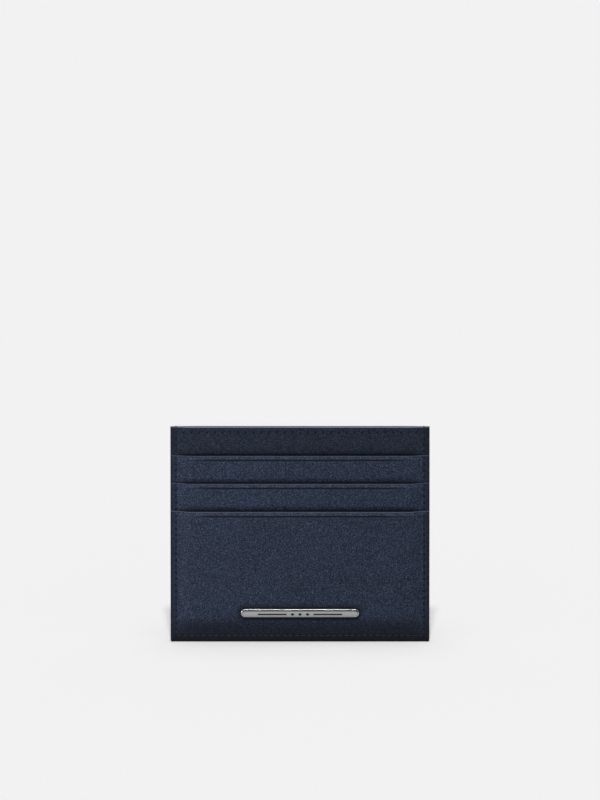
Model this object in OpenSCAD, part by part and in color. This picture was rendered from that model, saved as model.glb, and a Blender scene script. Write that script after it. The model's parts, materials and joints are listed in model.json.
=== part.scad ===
// Flat leather card holder: three card slots stepped down the front, a centre
// pocket open at the top, and a metal nameplate low on the front pocket.
// It stands upright: +X is its width, -Y its front, +Z points at the mouths.

/* [Body] */
// Width over the painted side edges
body_w = 100; // [98:1:110]
// Height of the body from the bottom edge to the rim
body_h = 84.8; // [82:0.1:92]
// Radius of the two bottom corners
corner_r = 0.7; // [0.4:0.1:2]
// Coat of edge paint on every cut edge
paint_t = 0.15; // [0.1:0.05:0.25]

/* [Slots] */
// Height of the front pocket's mouth
pocket_mouth_z = 52; // [50:0.2:54]
// Step from one slot's mouth to the next
slot_pitch = 10.8; // [9:0.2:12]
// Gap left in each slot for one card
slot_gap = 0.8; // [0.8:0.05:1.2]
// How far a slot's leather strip runs down behind the mouth in front of it
strip_lap = 8.6; // [6:0.2:9]
// Room between a fabric tail and the side seam on each side of it
tail_play = 1.8; // [1:0.2:3]

/* [Sheets] */
// Leather of the front pocket and of the back
panel_leather_t = 0.7; // [0.5:0.05:0.9]
// Leather of the two slot strips
strip_leather_t = 0.45; // [0.35:0.05:0.6]
// Leather of the front body panel
body_leather_t = 0.5; // [0.35:0.05:0.7]
// Stiffener board
stiffener_t = 0.2; // [0.2:0.05:0.4]
// Lining fabric and slot tails
lining_t = 0.1; // [0.1:0.05:0.2]

/* [Seams] */
// Width of the bonded margin along the sides and the bottom
seam_w = 3.2; // [2.8:0.1:4]
// Side stitch rows, in from the side edges
side_row_inset = 2.15; // [1.8:0.05:2.4]
// Bottom stitch row, up from the bottom edge
bottom_row_inset = 2.5; // [2:0.1:2.6]
// Hem stitch rows, down from the rim
hem_row_inset = 2.15; // [1.8:0.05:2.6]
// Stitch pitch of the side rows
side_stitch_pitch = 2.5; // [2:0.1:3.5]
// Stitch pitch of the bottom row
bottom_stitch_pitch = 2.4; // [2:0.1:3.5]
// Stitch pitch of the hem rows
hem_stitch_pitch = 2.95; // [2:0.05:3.5]
// Thickness of the sewing thread
thread_d = 0.4; // [0.3:0.05:0.5]

/* [Nameplate] */
// Length of the bar
bar_l = 45.6; // [36:0.2:56]
// Height of the bar
bar_h = 3.1; // [3:0.05:5]
// How far the bar stands out of the leather
bar_proud = 1.0; // [0.8:0.1:1.4]
// Height of the bar's centre line
bar_z = 12; // [8:0.1:16]
// Radius of the two studs behind the bar
stud_r = 0.6; // [0.5:0.1:0.8]
// Distance from the bar's end to a stud
stud_inset = 5.8; // [4:0.2:10]

/* [Hidden] */
$fn = 48;
side_trim = 0.3;               // keeps the end stitches off the edges
stitch_share = 0.72;           // part of the pitch that a stitch covers
bar_bevel_w = 0.75;            // width of the bevel around the bar's face
bar_bevel_d = 0.3;             // depth of the bevel around the bar's face
engraving_d = 0.15;            // depth of the engraved marks
line_l = 11.1;                 // engraved line on each side of the lozenges
line_h = 0.6;
line_gap = 5.2;                // from the bar's centre to a line's inner end
mark_drop = 0.37;              // the marks lie just below the bar's centre
lozenge_w = 1.7;
lozenge_h = 1.2;
lozenge_pitch = 2.9;
lozenge_count = 3;
washer_r = 2.0;
hole_play = 0.05;              // radial room for a stud in the leather
washer_play = 0.1;             // radial room for a washer in the stiffener

lined_panel_t = panel_leather_t + stiffener_t + lining_t;
strip_t = strip_leather_t + lining_t;
lined_body_t = body_leather_t + stiffener_t + lining_t;
stack_t = 2 * lined_panel_t + 2 * strip_t + lined_body_t + 4 * slot_gap;

// Front face of each layer, counted from the front pocket to the back. The
// nameplate's face and the back are evened out about y = 0.
pocket_y = -(stack_t - bar_proud) / 2;
middle_y = pocket_y + lined_panel_t + slot_gap;
top_y = middle_y + strip_t + slot_gap;
body_y = top_y + strip_t + slot_gap;
back_y = body_y + lined_body_t + slot_gap;
back_face_y = back_y + lined_panel_t;

middle_mouth_z = pocket_mouth_z + slot_pitch;
top_mouth_z = middle_mouth_z + slot_pitch;
middle_strip_z = pocket_mouth_z - strip_lap;
top_strip_z = middle_mouth_z - strip_lap;
middle_stop_z = slot_pitch;     // a card stands on the tail's bottom seam
top_stop_z = 2 * slot_pitch;
tail_seam_h = 2.5;
sheet_w = body_w - 2 * paint_t;
tail_w = body_w - 2 * (seam_w + tail_play);
stud_span = bar_l - 2 * stud_inset;
mark_z = bar_z - mark_drop;
side_row_x = body_w / 2 - side_row_inset;
hem_row_z = body_h - hem_row_inset;
level_row_l = 2 * (side_row_x - thread_d);
channel_d = thread_d / 2;
channel_w = thread_d + 2 * hole_play;

NAVY = "#252d3d";
NAVY_DARK = "#161c28";
LINING = "#1b2230";
BOARD = "#5b5348";
STEEL = "#a7a9aa";

// Outline of a sheet that reaches the bottom edge, with its round bottom corners.
module outline(inset, top) {
    half = body_w / 2 - inset;
    r = corner_r - inset;
    translate([-half, inset + r]) square([2 * half, top - inset - r]);
    translate([-half + r, inset]) square([2 * (half - r), r]);
    for (side = [-1, 1]) translate([side * (half - r), inset + r]) circle(r);
}

// Gives a flat outline its thickness t, back from y.
module lay(y, t) {
    translate([0, y + t, 0]) rotate([90, 0, 0]) linear_extrude(t) children();
}

module sheet(y, t, top) {
    lay(y, t) outline(paint_t, top - paint_t);
}

module strip(y, t, w, bottom, top) {
    translate([-w / 2, y, bottom]) cube([w, t, top - bottom]);
}

module stud_holes(y, t, r) {
    for (side = [-1, 1])
        translate([side * stud_span / 2, y + t + 1, bar_z])
            rotate([90, 0, 0]) cylinder(h = t + 2, r = r);
}

// Channels that the stitch rows are pressed into, cut from a face at y. The
// front's faces have facing 0 and the back's has facing 1.
module channel(x, z, w, h, y, facing) {
    translate([x - w / 2, y - (facing ? channel_d : 1), z]) cube([w, channel_d + 1, h]);
}

module side_channels(y, z0, z1, facing) {
    for (side = [-1, 1])
        channel(side * side_row_x, z0 - channel_w / 2, channel_w, z1 - z0 + channel_w, y, facing);
}

module level_channel(y, z, facing) {
    channel(0, z - channel_w / 2, 2 * side_row_x, channel_w, y, facing);
}

// Front pocket, from the outside in

module front_pocket_panel() {
    color(NAVY) difference() {
        sheet(pocket_y, panel_leather_t, pocket_mouth_z);
        stud_holes(pocket_y, panel_leather_t, stud_r + hole_play);
        side_channels(pocket_y, bottom_row_inset, pocket_mouth_z, 0);
        level_channel(pocket_y, bottom_row_inset, 0);
    }
}

module front_pocket_stiffener() {
    y = pocket_y + panel_leather_t;
    color(BOARD) difference() {
        sheet(y, stiffener_t, pocket_mouth_z);
        stud_holes(y, stiffener_t, washer_r + washer_play);
    }
}

module front_pocket_lining() {
    color(LINING)
        sheet(pocket_y + panel_leather_t + stiffener_t, lining_t, pocket_mouth_z);
}

// Card slots

module middle_slot_panel() {
    color(NAVY) difference() {
        strip(middle_y, strip_leather_t, sheet_w, middle_strip_z, middle_mouth_z - paint_t);
        side_channels(middle_y, pocket_mouth_z, middle_mouth_z, 0);
    }
}

module middle_slot_tail() {
    color(LINING)
        strip(middle_y + strip_leather_t, lining_t, tail_w, middle_stop_z, middle_mouth_z - paint_t);
}

module top_slot_panel() {
    color(NAVY) difference() {
        strip(top_y, strip_leather_t, sheet_w, top_strip_z, top_mouth_z - paint_t);
        side_channels(top_y, middle_mouth_z, top_mouth_z, 0);
    }
}

module top_slot_tail() {
    color(LINING)
        strip(top_y + strip_leather_t, lining_t, tail_w, top_stop_z, top_mouth_z - paint_t);
}

// Body, front and back of the centre pocket

module front_body_panel() {
    color(NAVY) difference() {
        sheet(body_y, body_leather_t, body_h);
        side_channels(body_y, top_mouth_z, body_h, 0);
        level_channel(body_y, hem_row_z, 0);
    }
}

module front_body_stiffener() {
    color(BOARD) sheet(body_y + body_leather_t, stiffener_t, body_h);
}

module front_body_lining() {
    color(LINING) sheet(body_y + body_leather_t + stiffener_t, lining_t, body_h);
}

module back_body_lining() {
    color(LINING) sheet(back_y, lining_t, body_h);
}

module back_body_stiffener() {
    color(BOARD) sheet(back_y + lining_t, stiffener_t, body_h);
}

module back_body_panel() {
    color(NAVY) difference() {
        sheet(back_y + lining_t + stiffener_t, panel_leather_t, body_h);
        side_channels(back_face_y, bottom_row_inset, body_h, 1);
        level_channel(back_face_y, bottom_row_inset, 1);
        level_channel(back_face_y, hem_row_z, 1);
    }
}

// Bonded margins: they close the gaps between the sheets along the seams

module bond(x, w, y0, y1, z0, z1) {
    translate([x, y0, z0]) cube([w, y1 - y0, z1 - z0]);
}

module side_bond() {
    w = seam_w - paint_t;
    x = body_w / 2 - seam_w;
    strip_back = middle_y + strip_leather_t;
    color(NAVY_DARK) {
        bond(x, w, pocket_y + lined_panel_t, body_y, seam_w, middle_strip_z);
        bond(x, w, pocket_y + lined_panel_t, middle_y, middle_strip_z, pocket_mouth_z - paint_t);
        bond(x, w, strip_back, body_y, middle_strip_z, top_strip_z);
        bond(x, w, strip_back, top_y, top_strip_z, middle_mouth_z - paint_t);
        bond(x, w, top_y + strip_leather_t, body_y, top_strip_z, top_mouth_z - paint_t);
        bond(x, w, body_y + lined_body_t, back_y, seam_w, body_h - paint_t);
    }
}

module left_seam_bond() {
    mirror([1, 0, 0]) side_bond();
}

module right_seam_bond() {
    side_bond();
}

module bottom_seam_bond() {
    color(NAVY_DARK) {
        lay(pocket_y + lined_panel_t, body_y - pocket_y - lined_panel_t) outline(paint_t, seam_w);
        lay(body_y + lined_body_t, slot_gap) outline(paint_t, seam_w);
    }
}

module tail_seam_bond() {
    color(NAVY_DARK) {
        bond(-tail_w / 2, tail_w, middle_y + strip_t, body_y, middle_stop_z, middle_stop_z + tail_seam_h);
        bond(-tail_w / 2, tail_w, top_y + strip_t, body_y, top_stop_z, top_stop_z + tail_seam_h);
    }
}

// Stitching: half-round stitches with a gap at each needle hole

module stitch(length) {
    translate([-length / 2, 0, 0]) rotate([90, 0, 90]) linear_extrude(length)
        intersection() {
            circle(d = thread_d, $fn = 16);
            translate([-thread_d / 2, -thread_d]) square([thread_d, thread_d]);
        }
}

// A row of stitches along a line of this length, centred on its middle.
module stitch_row(length, pitch) {
    count = floor(length / pitch);
    for (i = [0:count - 1])
        translate([(i - (count - 1) / 2) * pitch, 0, 0])
            rotate([-90, 0, 0]) stitch(pitch * stitch_share);
}

module level_row(y, z, pitch, facing) {
    translate([0, y, z]) mirror([0, facing, 0]) stitch_row(level_row_l, pitch);
}

// Lies on the floor of a channel in the face at y.
module sunk(y, facing) {
    translate([0, y + (facing ? -channel_d : channel_d), 0]) children();
}

module upright_row(y, z0, z1, facing) {
    sunk(y, facing) translate([side_row_x, 0, (z0 + z1) / 2]) mirror([0, facing, 0])
        rotate([0, 90, 0]) stitch_row(z1 - z0, side_stitch_pitch);
}

// A side row steps back with each slot; its back face is one straight row.
module side_thread() {
    color(NAVY_DARK) {
        upright_row(pocket_y, bottom_row_inset, pocket_mouth_z - side_trim, 0);
        upright_row(middle_y, pocket_mouth_z + side_trim, middle_mouth_z - side_trim, 0);
        upright_row(top_y, middle_mouth_z + side_trim, top_mouth_z - side_trim, 0);
        upright_row(body_y, top_mouth_z + side_trim, body_h - side_trim, 0);
        upright_row(back_face_y, bottom_row_inset, body_h - side_trim, 1);
    }
}

module left_seam_thread() {
    mirror([1, 0, 0]) side_thread();
}

module right_seam_thread() {
    side_thread();
}

module bottom_seam_thread() {
    color(NAVY_DARK) {
        sunk(pocket_y, 0) level_row(0, bottom_row_inset, bottom_stitch_pitch, 0);
        sunk(back_face_y, 1) level_row(0, bottom_row_inset, bottom_stitch_pitch, 1);
    }
}

module front_hem_thread() {
    color(NAVY_DARK) sunk(body_y, 0) level_row(0, hem_row_z, hem_stitch_pitch, 0);
}

module back_hem_thread() {
    color(NAVY_DARK) sunk(back_face_y, 1) level_row(0, hem_row_z, hem_stitch_pitch, 1);
}

// The tails' stitches lie on the fabric, below the strips' leather.
module tail_thread() {
    color(NAVY_DARK) {
        level_row(middle_y + strip_leather_t, middle_stop_z + tail_seam_h / 2, bottom_stitch_pitch, 0);
        level_row(top_y + strip_leather_t, top_stop_z + tail_seam_h / 2, bottom_stitch_pitch, 0);
    }
}

// Edge paint

// The coat on the right side edge, where the sheets from y to the back are cut.
module side_coat(y, z0, z1) {
    lay(y, back_face_y - y) intersection() {
        difference() {
            outline(0, body_h);
            outline(paint_t, body_h + 1);
        }
        translate([body_w / 2 - corner_r, z0]) square([corner_r, z1 - z0]);
    }
}

module side_edge_paint() {
    color(NAVY_DARK) for (side = [0, 1]) mirror([side, 0, 0]) {
        side_coat(pocket_y, 0, pocket_mouth_z);
        side_coat(middle_y, pocket_mouth_z, middle_mouth_z);
        side_coat(top_y, middle_mouth_z, top_mouth_z);
        side_coat(body_y, top_mouth_z, body_h);
    }
}

module bottom_edge_paint() {
    color(NAVY_DARK)
        strip(pocket_y, stack_t, body_w - 2 * corner_r, 0, paint_t);
}

module mouth_edge_paint() {
    color(NAVY_DARK) {
        strip(pocket_y, lined_panel_t, sheet_w, pocket_mouth_z - paint_t, pocket_mouth_z);
        strip(middle_y, strip_t, sheet_w, middle_mouth_z - paint_t, middle_mouth_z);
        strip(top_y, strip_t, sheet_w, top_mouth_z - paint_t, top_mouth_z);
    }
}

module rim_edge_paint() {
    color(NAVY_DARK) {
        strip(body_y, lined_body_t, sheet_w, body_h - paint_t, body_h);
        strip(back_y, lined_panel_t, sheet_w, body_h - paint_t, body_h);
    }
}

// Nameplate

// Half of the bar's cross-section, from its centre line out.
bar_profile = [
    [0, 0], [bar_h / 2, 0], [bar_h / 2, bar_proud - bar_bevel_d],
    [bar_h / 2 - bar_bevel_w, bar_proud], [0, bar_proud]
];

// Turns a shape drawn with +Z outwards on to the front of the pocket.
module on_front(z) {
    translate([0, pocket_y, z]) rotate([90, 0, 0]) children();
}

module bar_blank() {
    straight = bar_l - bar_h;
    for (side = [0, 1]) {
        mirror([side, 0, 0]) translate([straight / 2, 0, 0])
            rotate([0, 0, -90]) rotate_extrude(angle = 180) polygon(bar_profile);
        mirror([0, side, 0]) translate([-straight / 2, 0, 0])
            rotate([90, 0, 90]) linear_extrude(straight) polygon(bar_profile);
    }
}

// The marks, a row of lozenges with a line on each side, from the engraving's
// floor out to this height.
module marks(height) {
    translate([0, 0, bar_proud - engraving_d]) linear_extrude(height) {
        for (i = [0:lozenge_count - 1])
            translate([(i - (lozenge_count - 1) / 2) * lozenge_pitch, 0])
                polygon([[-lozenge_w / 2, 0], [0, -lozenge_h / 2], [lozenge_w / 2, 0], [0, lozenge_h / 2]]);
        for (side = [-1, 1])
            translate([side * (line_gap + line_l / 2), 0]) square([line_l, line_h], center = true);
    }
}

module nameplate_bar() {
    color(STEEL) {
        difference() {
            on_front(bar_z) bar_blank();
            on_front(mark_z) marks(2 * engraving_d);
        }
        for (side = [-1, 1])
            translate([side * stud_span / 2, pocket_y + panel_leather_t + stiffener_t, bar_z])
                rotate([90, 0, 0]) cylinder(h = panel_leather_t + stiffener_t + bar_proud / 2, r = stud_r);
    }
}

module nameplate_inlay() {
    color("black") on_front(mark_z) marks(engraving_d);
}

module nameplate_washers() {
    y = pocket_y + panel_leather_t;
    color(STEEL) difference() {
        for (side = [-1, 1])
            translate([side * stud_span / 2, y + stiffener_t, bar_z])
                rotate([90, 0, 0]) cylinder(h = stiffener_t, r = washer_r);
        stud_holes(y, stiffener_t, stud_r);
    }
}

front_pocket_panel();
front_pocket_stiffener();
front_pocket_lining();
middle_slot_panel();
middle_slot_tail();
top_slot_panel();
top_slot_tail();
front_body_panel();
front_body_stiffener();
front_body_lining();
back_body_lining();
back_body_stiffener();
back_body_panel();
left_seam_bond();
right_seam_bond();
bottom_seam_bond();
tail_seam_bond();
left_seam_thread();
right_seam_thread();
bottom_seam_thread();
front_hem_thread();
back_hem_thread();
tail_thread();
side_edge_paint();
bottom_edge_paint();
mouth_edge_paint();
rim_edge_paint();
nameplate_bar();
nameplate_inlay();
nameplate_washers();
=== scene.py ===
import json
import math

import bpy
from mathutils import Matrix, Vector

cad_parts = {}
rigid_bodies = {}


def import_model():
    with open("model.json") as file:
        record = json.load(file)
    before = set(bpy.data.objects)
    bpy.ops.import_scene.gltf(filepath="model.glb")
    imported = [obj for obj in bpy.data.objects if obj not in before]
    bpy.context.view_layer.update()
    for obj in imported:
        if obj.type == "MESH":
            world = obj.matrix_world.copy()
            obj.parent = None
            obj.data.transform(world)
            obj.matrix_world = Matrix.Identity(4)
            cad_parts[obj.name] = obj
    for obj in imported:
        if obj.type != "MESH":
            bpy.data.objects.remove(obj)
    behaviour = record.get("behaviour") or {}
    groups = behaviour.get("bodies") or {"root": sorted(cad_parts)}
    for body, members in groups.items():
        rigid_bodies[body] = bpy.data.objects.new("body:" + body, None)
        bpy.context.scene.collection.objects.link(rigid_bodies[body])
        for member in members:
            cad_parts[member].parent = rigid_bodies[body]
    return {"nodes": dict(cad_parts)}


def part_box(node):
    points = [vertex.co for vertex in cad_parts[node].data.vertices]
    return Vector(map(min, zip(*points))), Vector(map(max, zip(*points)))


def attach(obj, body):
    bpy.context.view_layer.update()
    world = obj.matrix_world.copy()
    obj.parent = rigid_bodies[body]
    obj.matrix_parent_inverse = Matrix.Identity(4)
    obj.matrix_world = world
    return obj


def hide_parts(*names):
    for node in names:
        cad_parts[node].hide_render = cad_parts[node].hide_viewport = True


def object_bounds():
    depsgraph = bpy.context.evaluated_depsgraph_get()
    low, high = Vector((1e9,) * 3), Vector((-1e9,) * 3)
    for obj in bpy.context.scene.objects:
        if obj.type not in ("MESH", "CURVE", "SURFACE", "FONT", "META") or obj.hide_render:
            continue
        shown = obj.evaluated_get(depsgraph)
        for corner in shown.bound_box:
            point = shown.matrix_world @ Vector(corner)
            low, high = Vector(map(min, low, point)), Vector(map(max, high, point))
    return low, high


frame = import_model()
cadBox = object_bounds()
boxes = {node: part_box(node) for node in frame["nodes"]}

# A flat leather card holder that stands upright on its bottom edge. Lengths are in metres.
mm = 0.001
halfWidth = cadBox[1].x
height = cadBox[1].z
print("frame loaded:", len(frame["nodes"]), "nodes")

# The sheets lie in five layers, from front to back.
layerNodes = {
    "pocket": ["front_pocket_panel", "front_pocket_stiffener", "front_pocket_lining"],
    "middle": ["middle_slot_panel"],
    "top": ["top_slot_panel"],
    "body": ["front_body_panel", "front_body_stiffener", "front_body_lining"],
    "back": ["back_body_lining", "back_body_stiffener", "back_body_panel"],
}

sewing = {
    "rowX": boxes["right_seam_thread"][0].x / 2 + boxes["right_seam_thread"][1].x / 2,
    "bottomZ": boxes["bottom_seam_thread"][0].z / 2 + boxes["bottom_seam_thread"][1].z / 2,
    "hemZ": boxes["front_hem_thread"][0].z / 2 + boxes["front_hem_thread"][1].z / 2,
    "sidePitch": 2.5 * mm,
    "bottomPitch": 2.4 * mm,
    "hemPitch": 2.95 * mm,
    "threadWidth": 0.42 * mm,
    "threadHeight": 0.34 * mm,
    "slant": 0.07 * mm,  # how far a stitch's ends lie off the row
    "cover": 0.76,  # share of the pitch that a stitch covers
    "proud": 0.12,  # share of its height that it is lifted by
    "shoulder": 0.9,  # share of its length that looks full
    "bluntness": 0.75,  # of its ends: 1 for round, less for blunter
    "rimCover": 1.1,  # for the stitch that goes over the rim
    "hold": 0.6 * mm,  # the sheets stay flat this far inside the rows
    "grooveDepth": 0.13 * mm,
    "grooveWidth": 0.34 * mm,
}

leatherShape = {
    "rampWidth": 5 * mm,  # how far the sheets take to spread out of a side seam
    "bottomRamp": 7 * mm,
    "mouthBlend": 8 * mm,  # and to take up a thinner stack above each mouth
    "creaseDrop": 1.6 * mm,  # the crease runs this far below each mouth
    "creaseDepth": 0.24 * mm,
    "creaseWidth": 0.32 * mm,
    "creaseFade": 16 * mm,  # it comes up over this distance from each side seam
    "mouthLean": 0.42 * mm,  # the band above the crease leans back by this at the mouth
    "tuckHeight": 2.3 * mm,  # above the mouth ahead of it, a layer bends back into its slot
    "tuckDepth": 0.5 * mm,
    "dimpleWidth": 1.7 * mm,  # the leather is drawn in around the nameplate
    "dimpleDepth": 0.3 * mm,
    "marginSlope": 0.4,  # share of the leather pressed away at the painted edge
    "wave": 0.03 * mm,
    "waveWidth": 9 * mm,
    "waveHeight": 7 * mm,
    "sag": 0.06 * mm,
    "sagHeight": 14 * mm,
    "cornerRadius": 0.7 * mm,
    "edgeRound": 0.09 * mm,
}

layers = {}
for layerName, nodes in layerNodes.items():
    layers[layerName] = {
        "name": layerName,
        "front": min(boxes[node][0].y for node in nodes),
        "back": max(boxes[node][1].y for node in nodes),
        "mouth": boxes[nodes[0]][1].z,
    }

order = list(layers.values())
gaps = [behind["front"] - ahead["back"] for ahead, behind in zip(order, order[1:])]
pinch = sum(gaps) / 2
for layer, gap in zip(order, gaps + [0.0]):
    layer["pinch"] = pinch  # what closes the stack in the seams
    layer["gapBehind"] = gap
    pinch -= gap

# The mouth that each of these layers disappears behind.
mouthAhead = {
    "middle": layers["pocket"]["mouth"],
    "top": layers["middle"]["mouth"],
    "body": layers["top"]["mouth"],
}


def smooth(t):
    t = max(0.0, min(1.0, t))
    return t * t * (3 - 2 * t)


def bell(distance, width):
    return math.exp(-(distance / width) ** 2)


def looseness(x, z):
    # 0 where the stitching holds the stack together, 1 where the sheets lie free
    across = smooth((sewing["rowX"] - sewing["hold"] - abs(x)) / leatherShape["rampWidth"])
    up = smooth((z - sewing["bottomZ"] - sewing["hold"]) / leatherShape["bottomRamp"])
    return across * up


def seamShift(layer, z):
    # how far a layer moves in the seams
    # above each mouth the stack is thinner, and its middle lies further back
    shift = layer["pinch"]
    for ahead in (layers["pocket"], layers["middle"], layers["top"]):
        shift += ahead["gapBehind"] / 2 * smooth((z - ahead["mouth"]) / leatherShape["mouthBlend"] + 0.5)
    return shift


def barDistance(x, z):
    # from the outline of the nameplate's bar
    low, high = boxes["nameplate_bar"]
    radius = (high.z - low.z) / 2
    beyond = max(0.0, abs(x) - high.x + radius)
    return math.hypot(beyond, z - (low.z + high.z) / 2) - radius


def relief(layer, x, z, leather):
    # what is pressed into a leather's outer face: stitch grooves, crease and worn-down margins
    side = abs(x) - sewing["rowX"]
    pressed = bell(side, sewing["grooveWidth"])
    margin = smooth(side / (halfWidth - sewing["rowX"]))
    if layer["name"] in ("pocket", "back"):
        if side < 0:
            pressed = max(pressed, bell(z - sewing["bottomZ"], sewing["grooveWidth"]))
        margin = max(margin, smooth((sewing["bottomZ"] - z) / sewing["bottomZ"]))
    if layer["name"] in ("body", "back") and side < 0:
        pressed = max(pressed, bell(z - sewing["hemZ"], sewing["grooveWidth"]))
    crease = 0.0
    if layer["name"] in ("pocket", "middle", "top"):
        creaseZ = layer["mouth"] - leatherShape["creaseDrop"]
        crease = bell(z - creaseZ, leatherShape["creaseWidth"])
        crease *= smooth(-side / leatherShape["creaseFade"])
    dimple = 0.0
    if layer["name"] == "pocket":
        dimple = smooth(1 - barDistance(x, z) / leatherShape["dimpleWidth"])
    return (
        sewing["grooveDepth"] * pressed
        + leatherShape["dimpleDepth"] * dimple
        + leatherShape["creaseDepth"] * crease
        + leatherShape["marginSlope"] * leather * margin
    )


def layPoint(layer, x, y, z, half=halfWidth):
    # where a point of a flat sheet ends up once its layer is sewn in
    loose = looseness(x, z)
    y += seamShift(layer, z) * (1 - loose)
    if layer["name"] in ("pocket", "middle", "top"):
        band = (z - layer["mouth"]) / leatherShape["creaseDrop"] + 1
        y += leatherShape["mouthLean"] * smooth(band) * loose
    if layer["name"] in mouthAhead:
        tucked = (mouthAhead[layer["name"]] - z) / leatherShape["tuckHeight"] + 1
        y += leatherShape["tuckDepth"] * smooth(tucked) * loose
    ripple = math.sin(x / leatherShape["waveWidth"] + 1) * math.sin(z / leatherShape["waveHeight"])
    y += leatherShape["wave"] * loose * ripple
    drop = leatherShape["sag"] * loose * smooth((z - layer["mouth"]) / leatherShape["sagHeight"] + 1)
    radius = leatherShape["cornerRadius"]
    inner = sewing["rowX"]
    if abs(x) > inner and z < radius:
        limit = half - radius + math.sqrt(max(0.0, radius ** 2 - (radius - z) ** 2))
        x = math.copysign(inner + (abs(x) - inner) * (limit - inner) / (half - inner), x)
    return Vector((x, y, z - drop))


def outerY(layer, x, z):
    # y of a layer's leather face, in its groove where it has one
    if layer["name"] == "back":
        low, high = boxes["back_body_panel"]
        return layPoint(layer, x, high.y, z).y - relief(layer, x, z, high.y - low.y)
    low, high = boxes[layerNodes[layer["name"]][0]]
    return layPoint(layer, x, low.y, z).y + relief(layer, x, z, high.y - low.y)


def deselectAll():
    bpy.ops.object.select_all(action="DESELECT")


def startEditing():
    bpy.ops.object.mode_set(mode="EDIT")
    bpy.ops.mesh.select_all(action="SELECT")


def stopEditing():
    bpy.ops.mesh.select_all(action="SELECT")
    bpy.ops.mesh.normals_make_consistent(inside=False)
    bpy.ops.object.mode_set(mode="OBJECT")


def spread(*stretches):
    # grid lines over stretches of (start, stop, step), evenly spaced in each
    lines = [stretches[0][0]]
    for start, stop, step in stretches:
        count = max(1, round((stop - start) / step))
        lines += [start + (stop - start) * k / count for k in range(1, count + 1)]
    return lines


def newGrid(name, columns, rows):
    deselectAll()
    bpy.ops.mesh.primitive_grid_add(x_subdivisions=columns, y_subdivisions=rows, size=1)
    piece = bpy.context.object
    piece.name = name
    piece.data.name = name
    return piece


def newCylinder(corners, radius, depth, place=(0, 0, 0)):
    # it lies along y, with its place in its mesh
    deselectAll()
    bpy.ops.mesh.primitive_cylinder_add(vertices=corners, radius=radius, depth=depth,
                                        location=place, rotation=(math.pi / 2, 0, 0))
    piece = bpy.context.object
    bpy.ops.object.transform_apply(location=True, rotation=True, scale=False)
    return piece


def applyModifier(piece, kind, **settings):
    modifier = piece.modifiers.new(kind.lower(), kind)
    for setting, value in settings.items():
        setattr(modifier, setting, value)
    bpy.context.view_layer.objects.active = piece
    bpy.ops.object.modifier_apply(modifier=modifier.name)


def bevelEdges(piece, width, segments, degrees):
    # rounds every edge that turns by more than this many degrees
    applyModifier(piece, "BEVEL", width=width, segments=segments, limit_method="ANGLE",
                  angle_limit=math.radians(degrees))


def smoothShade(piece, degrees=40):
    deselectAll()
    piece.select_set(True)
    bpy.context.view_layer.objects.active = piece
    bpy.ops.object.shade_smooth_by_angle(angle=math.radians(degrees))


def makeSlab(name, xs, zs, frontPoint, backPoint, edgeRound=0.0):
    # a closed sheet between two faces, each given by a function of the flat x and z
    piece = newGrid(name, len(xs) - 1, len(zs) - 1)
    startEditing()
    bpy.ops.mesh.extrude_region_move(TRANSFORM_OT_translate={"value": (0, 0, 1)})
    bpy.ops.object.mode_set(mode="OBJECT")
    for vertex in piece.data.vertices:
        x = xs[round((vertex.co.x + 0.5) * (len(xs) - 1))]
        z = zs[round((vertex.co.y + 0.5) * (len(zs) - 1))]
        vertex.co = frontPoint(x, z) if vertex.co.z < 0.5 else backPoint(x, z)
    startEditing()
    stopEditing()
    if edgeRound:
        bevelEdges(piece, edgeRound, 2, 55)
    smoothShade(piece)
    return piece


def makeTube(name, lines, sides, placePoint):
    # a closed tube along lines, whose cross-section placePoint gives for each turn from 0 to 1
    piece = newGrid(name, len(lines) - 1, sides)
    for vertex in piece.data.vertices:
        line = lines[round((vertex.co.x + 0.5) * (len(lines) - 1))]
        vertex.co = placePoint(line, round((vertex.co.y + 0.5) * sides) / sides)
    startEditing()
    bpy.ops.mesh.remove_doubles(threshold=0.001 * mm)
    bpy.ops.mesh.fill_holes(sides=0)
    stopEditing()
    smoothShade(piece)
    return piece


def joinPieces(name, parts):
    deselectAll()
    for part in parts:
        part.select_set(True)
    bpy.context.view_layer.objects.active = parts[0]
    if len(parts) > 1:
        bpy.ops.object.join()
    joined = bpy.context.object
    joined.name = name
    joined.data.name = name
    return joined


def settle(piece, slot, *nodes):
    # the piece rides on the one body and stands for its CAD nodes
    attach(piece, "root")
    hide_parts(*nodes)
    return piece


def giveFinish(piece, finish):
    piece.data.materials.clear()
    piece.data.materials.append(finish)


class Field:
    # a number that varies over the surface, written in plain arithmetic
    def __init__(self, finish, socket):
        self.finish = finish
        self.socket = socket

    def __add__(self, other):
        return self.finish.maths("ADD", self, other)

    def __sub__(self, other):
        return self.finish.maths("SUBTRACT", self, other)

    def __rsub__(self, other):
        return self.finish.maths("SUBTRACT", other, self)

    def __mul__(self, other):
        return self.finish.maths("MULTIPLY", self, other)

    def __truediv__(self, other):
        return self.finish.maths("DIVIDE", self, other)

    def __rtruediv__(self, other):
        return self.finish.maths("DIVIDE", other, self)

    def __abs__(self):
        return self.finish.maths("ABSOLUTE", self)

    __radd__ = __add__
    __rmul__ = __mul__


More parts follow.
